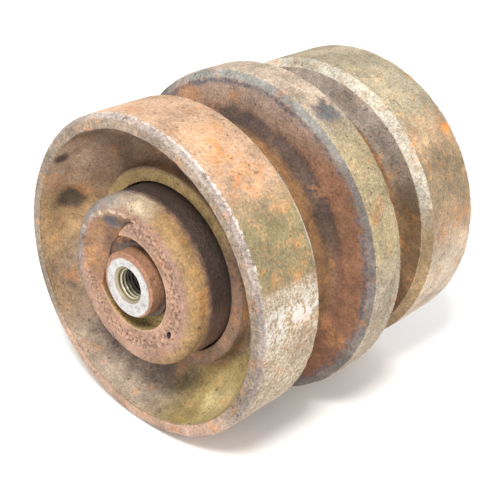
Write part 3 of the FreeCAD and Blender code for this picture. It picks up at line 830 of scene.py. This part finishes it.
# Outlines of (radius, station, round, step) corners in mm, each from its hidden inside outwards.
SHELL_OUTLINE = [
    (62, 0, 0, 12), (62, 24, 6, 9), (26.55, 24, 1, 12), (26.55, 48, 0, 7), (33.35, 48, 0, 6),
    (33.35, 53.5, 0, 9), (42.6, 53.5, 1, 6), (42.6, 64.8, 0, 6), (BOSS_BORE, 64.8, 1, 3),
    (BOSS_BORE, BOSS_END, 0.5, 1), (BOSS_RADIUS, BOSS_END, 1, 1), (64.5, 68, 6, 1), (75, 68, 13, 1.1),
    (88.5, 84, 13, 1.1), (LIP_RADIUS, LIP_END, 1, 0.9), (97, LIP_END, 0.4, 0.9),
    (RIM_RADIUS, RIM_EDGE, 1, 1.1), (RIM_RADIUS, RIM_START, 1, 1.1),
    (SHOULDER_RADIUS, SHOULDER_START, 1, 1.1), (BARREL_RADIUS, BARREL_END, 7, 1.1),
    (BARREL_RADIUS, FLANGE_FOOT, 7, 1.1), (100.9, 14, 1, 1.1), (FLANGE_RADIUS, FLANGE_EDGE, 1, 1.1),
    (FLANGE_RADIUS, 0, 0, 6),
]
COLLAR_OUTLINE = [
    (20.42, SHAFT_SHOULDER, 0, 3), (29.5, SHAFT_SHOULDER, 1, 3), (29.5, 78.5, 1, 3), (42.6, 78.5, 1, 3),
    (42.6, COLLAR_START, 0, 3), (COLLAR_RADIUS, COLLAR_START, 1, 1.2), (COLLAR_RADIUS, 104.6, 5.5, 0.7),
    (43, COLLAR_FACE, 8, 0.55), (POCKET_RADIUS, COLLAR_FACE, 1, 0.6), (POCKET_RADIUS, POCKET_FLOOR, 1, 1.2),
    (20.42, POCKET_FLOOR, 0, 3),
]
SHAFT_END_OUTLINE = [
    (22.5, 0, 0, 4), (22.5, SHAFT_SHOULDER, 0, 2), (SHAFT_RADIUS, SHAFT_SHOULDER, 0, 4),
    (SHAFT_RADIUS, POCKET_FLOOR, 0, 2), (18.75, POCKET_FLOOR, 0, 2), (18.75, 98.35, 0, 2),
    (SHAFT_RADIUS, 98.35, 0, 1.5), (SHAFT_RADIUS, 107.4, 0, 0.8), (19.3, SHAFT_END, 0, 0.7),
    (MOUTH_RADIUS, SHAFT_END, 0, THREAD_STEP), (BORE_RADIUS, BORE_START, 0, THREAD_STEP),
]


def spot(radius, station, angle, end=REAR):
    """The point in metres at a radius, station and angle drawn at the rear end."""
    turn = math.radians(angle)
    place = np.array([radius * math.cos(turn), station, radius * math.sin(turn)]) * MM
    return tuple(turned_over(place, end))


class TRACKROLLER_OT_shell_halves(bpy.types.Operator):
    """Builds the two worn shell halves: rims, cups, bosses, barrel and centre flange"""
    bl_idname = "track_roller.shell_halves"
    bl_label = "Shell Halves"

    def skin(self, points, outline, sizes):
        """Height in metres of the cast skin, the dents in the treads and the nicks in the edges."""
        radius, station = outline[:, :1], outline[:, 1:]
        past_boss = rise(radius, BOSS_RADIUS + 0.3, BOSS_RADIUS + 2)
        cups = past_boss * rise(radius, RIM_RADIUS - 2.5, RIM_RADIUS - 4.5) * rise(station, 14, 16)
        webs = past_boss * rise(radius, FLANGE_RADIUS - 0.5, FLANGE_RADIUS - 2.5) * rise(station, 40, 12)
        boss = rise(radius, BOSS_BORE + 0.1, BOSS_BORE + 1.7) * rise(station, BOSS_END - 1, BOSS_END - 0.2)
        boss = boss * rise(radius, BOSS_RADIUS + 0.3, BOSS_RADIUS - 0.7)
        cast = np.maximum(cups, webs) + 0.35 * boss
        tread = rise(radius, RIM_RADIUS - 2, RIM_RADIUS - 0.5) * rise(station, 2, 5)
        lumps = clouds(points, 0.011, 4, 3.1) * 0.65 + clouds(points, 0.0035, 2, 9.4) * 0.35
        dents = clouds(points, 0.006, 3, 5.7)
        height = cast * sizes.skin_height * lumps + tread * sizes.tread_height * (dents - 0.6)
        nick = np.maximum(0, clouds(points, 0.007, 3, 21.0) - 0.22) * 1.8
        edges = near(radius, RIM_RADIUS, 1.6) * near(station, RIM_EDGE + 0.7, 2.2)
        edges = edges + near(radius, FLANGE_RADIUS, 1.2) * near(station, FLANGE_EDGE, 1.6)
        edges = edges + near(radius, RIM_RADIUS, 1.0) * near(station, RIM_START, 1.4)
        edges = edges + 0.5 * near(radius, LIP_RADIUS, 1.0) * near(station, LIP_END, 1.2)
        return height - edges * sizes.edge_nick * np.minimum(nick, 1.0)

    def execute(self, context):
        sizes = context.scene.track_roller_sizes
        material = shell_finish(context.scene.track_roller_colours)
        outline = rounded_outline(SHELL_OUTLINE)
        angles = np.arange(0, 360, 360 / SHELL_COLUMNS)
        for end, name in ((FRONT, "front"), (REAR, "rear")):
            points = turned_over(turned_grid(outline, angles), end)
            height = self.skin(points, outline, sizes)
            points = points + outward_normals(points) * height[..., None]
            made = grid_object(name + "_shell", points)
            finished(made, material, "roller_shell", name + "_shell_half")
        return {"FINISHED"}


class TRACKROLLER_OT_collars(bpy.types.Operator):
    """Builds the two domed end collars with their snap ring pockets and removal ramps"""
    bl_idname = "track_roller.collars"
    bl_label = "End Collars"

    def ramped(self, outline, angles):
        """The outline at every angle with the dished removal ramp cut into it, and the turned columns."""
        rings = np.repeat(outline[:, None], len(angles), 1)
        inside = np.flatnonzero((angles > RAMP_FROM) & (angles < RAMP_TO))
        top = np.flatnonzero(
            (outline[:, 0] > RAMP_RADIUS - 0.01) & (outline[:, 0] < 50) & (outline[:, 1] > RAMP_LOW))
        for column in inside:
            reach = float(np.interp(angles[column], RAMP_REACH_ANGLES, RAMP_REACH))
            drop = float(np.interp(angles[column], [RAMP_FROM, RAMP_DEEP, RAMP_TO], [0.1, 1, 1]))
            cut = top[outline[top, 0] < reach]
            steps = np.linalg.norm(np.diff(outline[cut], axis=0), axis=1)
            share = np.concatenate([[0], np.cumsum(steps)]) / steps.sum()
            share = np.clip(1 - share, 0, 1)
            edge = outline[cut[0]]
            low = COLLAR_FACE - (COLLAR_FACE - RAMP_LOW) * drop
            rings[cut, column, 0] = RAMP_RADIUS + (edge[0] - RAMP_RADIUS) * share
            rings[cut, column, 1] = low + (edge[1] - low) * share ** RAMP_CURVE
        slant = np.clip((outline[:, 0] - RAMP_LEAN_RADIUS) * RAMP_LEAN, -16, 15)
        slant = slant * rise(outline[:, 0], 22, RAMP_RADIUS)
        slant = slant * rise(outline[:, 0], 50, 44) * rise(outline[:, 1], 94, 96)
        turned = angles[None, :] + slant[:, None] * near(angles, RAMP_TO, 20)[None, :]
        return rings, turned

    def skin(self, points, rings, turned, sizes):
        """Height in metres of the cast skin, the rough band on the face and the chip in the ramp's lip."""
        radius, station = rings[..., 0], rings[..., 1]
        open_face = rise(station, 79, 82) * rise(radius, 20.8, 23)
        band = rise(radius, 32.5, 34.5) * rise(radius, 42.5, 40.5)
        band = band * rise(station, COLLAR_FACE - 2, COLLAR_FACE - 0.5)
        lumps = clouds(points, 0.010, 4, 1.7) * 0.6 + clouds(points, 0.003, 3, 6.2) * 0.4
        knobs = np.clip(clouds(points, 0.0046, 3, 14.0) * 2.0, -0.6, 1)
        height = open_face * sizes.skin_height * lumps + band * sizes.face_height * knobs
        chip = near(np.hypot(radius - CHIP_RADIUS, (turned - CHIP_ANGLE) * CHIP_ALONG), 0, 3.4)
        return height - chip * CHIP_DEPTH * MM

    def execute(self, context):
        sizes = context.scene.track_roller_sizes
        material = collar_finish(context.scene.track_roller_colours)
        outline = rounded_outline(COLLAR_OUTLINE)
        angles = np.arange(0, 360, 360 / COLLAR_COLUMNS)
        walls = [place + half for place in (RAMP_FROM, RAMP_TO) for half in (-RAMP_WALL / 2, RAMP_WALL / 2)]
        angles = np.sort(np.append(angles[np.abs(angles[:, None] - walls).min(1) > RAMP_WALL], walls))
        for end, name in ((FRONT, "front"), (REAR, "rear")):
            rings, turned = self.ramped(outline, angles)
            points = turned_over(turned_grid(rings, turned), end)
            height = self.skin(points, rings, turned, sizes)
            points = points + outward_normals(points) * height[..., None]
            made = grid_object(name + "_end_collar", points)
            drilled(made, [
                (TOOLING_HOLE_RADIUS * MM, spot(TOOLING_HOLE_PLACE, 99.5, TOOLING_HOLE_ANGLE, end),
                 spot(TOOLING_HOLE_PLACE, 107, TOOLING_HOLE_ANGLE, end)),
                (PIN_RADIUS * MM, spot(15, PIN_STATION, PIN_ANGLE, end),
                 spot(56, PIN_STATION, PIN_ANGLE, end)),
            ])
            finished(made, material, "shaft_assembly", name + "_collar")
        return {"FINISHED"}


class TRACKROLLER_OT_shaft(bpy.types.Operator):
    """Builds the shaft with a real thread in each end"""
    bl_idname = "track_roller.shaft"
    bl_label = "Shaft"

    def flanks(self, stations, angles, sizes):
        """Depth in mm of the thread's flanks at every station and angle."""
        turns = stations / (sizes.thread_pitch / MM) + angles[None, :] / 360
        wave = np.abs((turns % 1.0) * 2 - 1)
        return sizes.thread_height / MM * np.clip((wave - THREAD_CREST) / THREAD_FLANK, 0, 1)

    def threaded(self, angles, sizes):
        """The bore's rings from the mouth inwards, with the thread's flanks in them."""
        stations = np.arange(105.3, THREAD_END, -THREAD_STEP)[:, None]
        fade = rise(stations, THREAD_END + 0.6, THREAD_END + THREAD_RUN_OUT)
        radius = BORE_RADIUS + self.flanks(stations, angles, sizes) * fade
        return np.stack([radius, np.repeat(stations, len(angles), 1)], -1)

    def execute(self, context):
        sizes = context.scene.track_roller_sizes
        material = shaft_finish(context.scene.track_roller_colours)
        angles = np.arange(0, 360, 360 / SHAFT_COLUMNS)
        side = rounded_outline(SHAFT_END_OUTLINE, closed=False)
        side = np.repeat(side[:, None], len(angles), 1)
        mouth = (side[:, 0, 0] < MOUTH_RADIUS - 0.05) & (side[:, 0, 1] > BORE_START - 0.05)
        groove = BORE_RADIUS + self.flanks(side[..., 1], angles, sizes)
        side[mouth, :, 0] = np.maximum(side[mouth, :, 0], groove[mouth])
        bore = self.threaded(angles, sizes)
        floor = [(BORE_RADIUS, THREAD_END), (PLUG_RADIUS, THREAD_END)]
        rear_end = [*floor, (2.0, THREAD_END), (0.0, THREAD_END)]
        oil_way = [(OIL_RADIUS, station) for station in (PLUG_FLOOR, 40.0, 10.0, -OIL_RADIUS)]
        front_end = [*floor, (PLUG_RADIUS, PLUG_FLOOR), *oil_way, (0.0, -OIL_RADIUS)]
        rings = []
        for bottom in (front_end, rear_end):
            bottom = np.repeat(np.array(bottom)[:, None], len(angles), 1)
            rings.append(turned_grid(np.concatenate([side, bore, bottom]), angles))
        front, rear = rings
        front = turned_over(front, FRONT)[:, (-np.arange(len(angles))) % len(angles)]
        made = grid_object("turned_shaft", np.concatenate([front[::-1], rear[1:]]), poles=True)
        pin_holes = [
            (PIN_RADIUS * MM, spot(13, PIN_STATION, PIN_ANGLE, end), spot(24, PIN_STATION, PIN_ANGLE, end))
            for end in (FRONT, REAR)]
        oil_hole = (OIL_RADIUS * MM, (0, 0, -OIL_CROSS * MM), (0, 0, OIL_CROSS * MM))
        drilled(made, [*pin_holes, oil_hole])
        finished(made, material, "shaft_assembly", "shaft")
        return {"FINISHED"}


class TRACKROLLER_OT_small_parts(bpy.types.Operator):
    """Gives the bushes, seals, rings, pins and plug their finishes"""
    bl_idname = "track_roller.small_parts"
    bl_label = "Bushes, Seals and Small Parts"

    def execute(self, context):
        colours = context.scene.track_roller_colours
        spring = plain_finish("oiled_spring_steel", colours.spring_steel, 4, 0.5, 0.6, 0.08)
        plug = plain_finish("plug_steel", colours.plug_steel, 3, 0.45, 0.8, 0.05)
        bronze = plain_finish("bush_bronze", colours.bronze, 6, 0.4, 0.85, 0.05)
        lapped = plain_finish("lapped_seal_iron", colours.lapped_iron, 5, 0.35, 0.85, 0.04)
        rubber = plain_finish("black_seal_rubber", colours.rubber, 4, 0.7, 0.0, 0.06)
        kinds = {"retaining_ring": spring, "collar_pin": spring, "oil_plug": plug, "bush": bronze,
                 "seal_ring": lapped, "toric": rubber, "o_ring": rubber}
        for name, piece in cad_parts.items():
            for ending, material in kinds.items():
                if name.endswith(ending):
                    piece.data.materials.clear()
                    piece.data.materials.append(material)
        return {"FINISHED"}


class TRACKROLLER_OT_stage(bpy.types.Operator):
    """Sets the pale floor, the soft studio light and the camera"""
    bl_idname = "track_roller.stage"
    bl_label = "Floor, Light and Camera"

    def floor(self, scene):
        """A pale sheet under the front rim and the flange, on which the roller rests tipped forward."""
        rim_touch = Vector(spot(RIM_RADIUS, RIM_EDGE, 90, FRONT))
        flange_touch = Vector(spot(FLANGE_RADIUS, FLANGE_EDGE, 90, FRONT))
        slope = (flange_touch - rim_touch).normalized() * FLOOR_HALF
        across = Vector((1, 0, 0)) * FLOOR_HALF
        work = bmesh.new()
        corners = [rim_touch + slope * along + across * side
                   for along, side in ((-1, -1), (-1, 1), (1, 1), (1, -1))]
        work.faces.new([work.verts.new(corner) for corner in corners])
        mesh = bpy.data.meshes.new("studio_floor")
        work.to_mesh(mesh)
        work.free()
        floor = bpy.data.objects.new("studio_floor", mesh)
        scene.collection.objects.link(floor)
        finish = Finish("pale_floor")
        mesh.materials.append(finish.done((0.9, 0.9, 0.9), 0.9))
        far = finish.rise(finish.radius, 220, 480)
        finish.feed(finish.shader.inputs["Emission Strength"], 0.5)
        glow = finish.shades(far, (0, (0.16, 0.15, 0.14)), (1, (1, 1, 1)))
        finish.feed(finish.shader.inputs["Emission Color"], glow)

    def lights(self, scene):
        """A white room and one large soft lamp."""
        world = bpy.data.worlds.new("white_room")
        world.use_nodes = True
        world.node_tree.nodes["Background"].inputs["Color"].default_value = (1, 1, 1, 1)
        world.node_tree.nodes["Background"].inputs["Strength"].default_value = 1.0
        scene.world = world
        lamp = bpy.data.lights.new("key_light", "AREA")
        lamp.shape = "DISK"
        lamp.size = KEY_LIGHT_SIZE
        lamp.energy = KEY_LIGHT_POWER
        lamp.color = KEY_LIGHT_COLOUR
        made = bpy.data.objects.new("key_light", lamp)
        scene.collection.objects.link(made)
        made.location = KEY_LIGHT_PLACE
        made.rotation_mode = "QUATERNION"
        made.rotation_quaternion = (-Vector(KEY_LIGHT_PLACE)).to_track_quat("-Z", "Y")

    def camera(self, scene):
        """A long lens from the front, the right and above, rolled a little."""
        camera = bpy.data.cameras.new("roller_camera")
        camera.lens = CAMERA_LENS
        camera.sensor_width = 36.0
        camera.clip_start = 0.01
        camera.clip_end = 20.0
        made = bpy.data.objects.new("roller_camera", camera)
        scene.collection.objects.link(made)
        azimuth, elevation = math.radians(CAMERA_AZIMUTH), math.radians(CAMERA_ELEVATION)
        roll = math.radians(CAMERA_ROLL)
        back = Vector((math.sin(azimuth) * math.cos(elevation), -math.cos(azimuth) * math.cos(elevation),
                       math.sin(elevation)))
        level = Vector((math.cos(azimuth), math.sin(azimuth), 0))
        upward = back.cross(level)
        right = level * math.cos(roll) + upward * math.sin(roll)
        upward = upward * math.cos(roll) - level * math.sin(roll)
        turn = Matrix((right, upward, back)).transposed().to_4x4()
        made.matrix_world = Matrix.Translation(CAMERA_PLACE) @ turn
        scene.camera = made

    def execute(self, context):
        context.scene.view_settings.view_transform = "Standard"
        self.floor(context.scene)
        self.lights(context.scene)
        self.camera(context.scene)
        return {"FINISHED"}


OPERATORS = (
    TRACKROLLER_OT_shell_halves,
    TRACKROLLER_OT_collars,
    TRACKROLLER_OT_shaft,
    TRACKROLLER_OT_small_parts,
    TRACKROLLER_OT_stage,
)


class TRACKROLLER_PT_panel(bpy.types.Panel):
    """Lists the roller's sizes and the operators that build it"""
    bl_label = "Track Roller"
    bl_idname = "TRACKROLLER_PT_panel"
    bl_space_type = "VIEW_3D"
    bl_region_type = "UI"
    bl_category = "Track Roller"

    def draw(self, context):
        for group in (context.scene.track_roller_sizes, context.scene.track_roller_colours):
            for name in group.bl_rna.properties.keys():
                if name not in ("rna_type", "name"):
                    self.layout.prop(group, name)
        for operator in OPERATORS:
            self.layout.operator(operator.bl_idname)


CLASSES = (TrackRollerSizes, TrackRollerColours, *OPERATORS, TRACKROLLER_PT_panel)


def register():
    for made in CLASSES:
        bpy.utils.register_class(made)
    bpy.types.Scene.track_roller_sizes = bpy.props.PointerProperty(type=TrackRollerSizes)
    bpy.types.Scene.track_roller_colours = bpy.props.PointerProperty(type=TrackRollerColours)


def unregister():
    del bpy.types.Scene.track_roller_colours
    del bpy.types.Scene.track_roller_sizes
    for made in reversed(CLASSES):
        bpy.utils.unregister_class(made)


def main():
    register()
    bpy.ops.track_roller.shell_halves()
    bpy.ops.track_roller.collars()
    bpy.ops.track_roller.shaft()
    bpy.ops.track_roller.small_parts()
    bpy.ops.track_roller.stage()


if __name__ == "__main__":
    main()
